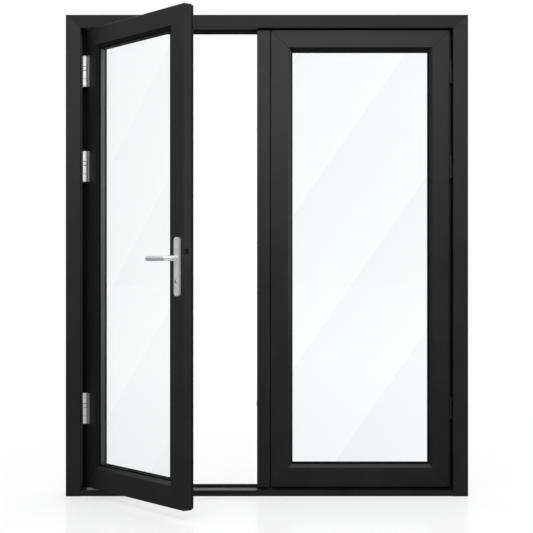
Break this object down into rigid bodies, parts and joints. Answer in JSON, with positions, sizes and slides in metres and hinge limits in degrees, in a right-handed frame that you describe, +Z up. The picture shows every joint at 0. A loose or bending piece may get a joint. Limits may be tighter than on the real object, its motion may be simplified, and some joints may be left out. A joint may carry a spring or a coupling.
{
  "type": "french doors",
  "caption": "Outward-opening glazed french doors in a slim aluminium frame: lock leaf ajar on barrel hinges, other leaf shut with a meeting post, lever handle and low sill.",
  "frame": {"origin": "middle of the frame's foot, half-way across its width and its depth, on the surface that the sill stands on", "axes": "+Z up, +X to the right seen from outside, -Y towards the outside, where the leaves open"},
  "size_m": [1.755, 0.6675, 2.1],
  "materials": {
    "black_frame": "satin black powder coat on aluminium",
    "silver_hardware": "satin anodised silver",
    "steel": "bright zinc",
    "black_steel": "blackened steel",
    "brass": "turned",
    "glass": "clear float glass",
    "spacer": "bright mill",
    "rubber": "matte",
    "cleat": "mill",
    "block": "moulded"
  },
  "bodies": {
    "frame": {"frame_head": "black_frame", "frame_jamb_left": "black_frame", "frame_jamb_right": "black_frame", "frame_sill": "black_frame", "frame_corner_cleats": "cleat", "frame_stop_seal": "rubber", "left_hinge_frame_flags": "silver_hardware", "left_hinge_pins": "steel", "left_hinge_rings": "silver_hardware", "right_hinge_frame_flags": "black_frame", "right_hinge_pins": "steel"},
    "left_leaf": {"left_hinge_leaf_flags": "silver_hardware", "left_leaf_hinge_stile": "black_frame", "left_leaf_lock_stile": "black_frame", "left_leaf_top_rail": "black_frame", "left_leaf_bottom_rail": "black_frame", "left_leaf_corner_cleats": "cleat", "left_pane_outer": "glass", "left_pane_inner": "glass", "left_pane_spacer": "spacer", "left_gasket_outer": "rubber", "left_gasket_inner": "rubber", "left_glazing_beads": "black_frame", "left_setting_blocks": "block", "left_edge_seal": "rubber", "lock_case": "steel", "lock_faceplate": "black_steel", "cylinder_body": "silver_hardware", "cylinder_screw": "steel", "handle_plate_outer": "silver_hardware", "handle_plate_inner": "silver_hardware", "handle_screws": "steel"},
    "lever": {"lever_outer": "silver_hardware", "lever_inner": "silver_hardware", "spindle": "steel", "lock_hub": "brass"},
    "latch": {"latch_bolt": "black_steel"},
    "bolt": {"dead_bolt": "black_steel"},
    "key_plug": {"cylinder_plug": "brass"},
    "right_leaf": {"right_hinge_leaf_flags": "black_frame", "right_leaf_meeting_stile": "black_frame", "right_leaf_hinge_stile": "black_frame", "right_leaf_top_rail": "black_frame", "right_leaf_bottom_rail": "black_frame", "right_leaf_corner_cleats": "cleat", "right_pane_outer": "glass", "right_pane_inner": "glass", "right_pane_spacer": "spacer", "right_gasket_outer": "rubber", "right_gasket_inner": "rubber", "right_glazing_beads": "black_frame", "right_setting_blocks": "block", "meeting_post": "black_frame", "meeting_post_caps": "black_frame", "strike_plate": "black_steel"},
    "top_bolt": {"top_shoot_bolt": "steel"},
    "bottom_bolt": {"bottom_shoot_bolt": "steel"}
  },
  "joints": [
    {"name": "left_leaf_swing", "type": "hinge", "parent": "frame", "child": "left_leaf", "pos_m": [-0.795, -0.029, 0], "axis": [0, 0, 1], "range_deg": [-57.8, 52.2]},
    {"name": "lever_turn", "type": "hinge", "parent": "left_leaf", "child": "lever", "pos_m": [-0.35114, -0.58327, 1.033], "axis": [-0.7902, -0.6129, 0], "range_deg": [0, 40], "stiffness_Nm_per_rad": 1.5, "springref_deg": -34.38},
    {"name": "latch_slide", "type": "slide", "parent": "left_leaf", "child": "latch", "axis": [-0.6129, 0.7902, 0], "range_m": [0, 0.01]},
    {"name": "key_turn", "type": "hinge", "parent": "left_leaf", "child": "key_plug", "pos_m": [-0.35114, -0.58327, 0.941], "axis": [-0.7902, -0.6129, 0], "range_deg": [0, 360]},
    {"name": "dead_bolt_slide", "type": "slide", "parent": "left_leaf", "child": "bolt", "axis": [0.6129, -0.7902, 0], "range_m": [0, 0.02]},
    {"name": "right_leaf_swing", "type": "hinge", "parent": "frame", "child": "right_leaf", "pos_m": [0.8055, -0.013, 0], "axis": [0, 0, 1], "range_deg": [0, 88]},
    {"name": "top_bolt_slide", "type": "slide", "parent": "right_leaf", "child": "top_bolt", "axis": [0, 0, 1], "range_m": [0, 0.02]},
    {"name": "bottom_bolt_slide", "type": "slide", "parent": "right_leaf", "child": "bottom_bolt", "axis": [0, 0, -1], "range_m": [0, 0.02]}
  ],
  "couplings": [
    {"joint": "latch_slide", "follows": "lever_turn", "m_per_rad": 0.0143},
    {"joint": "dead_bolt_slide", "follows": "key_turn", "m_per_rad": 0.00318}
  ]
}
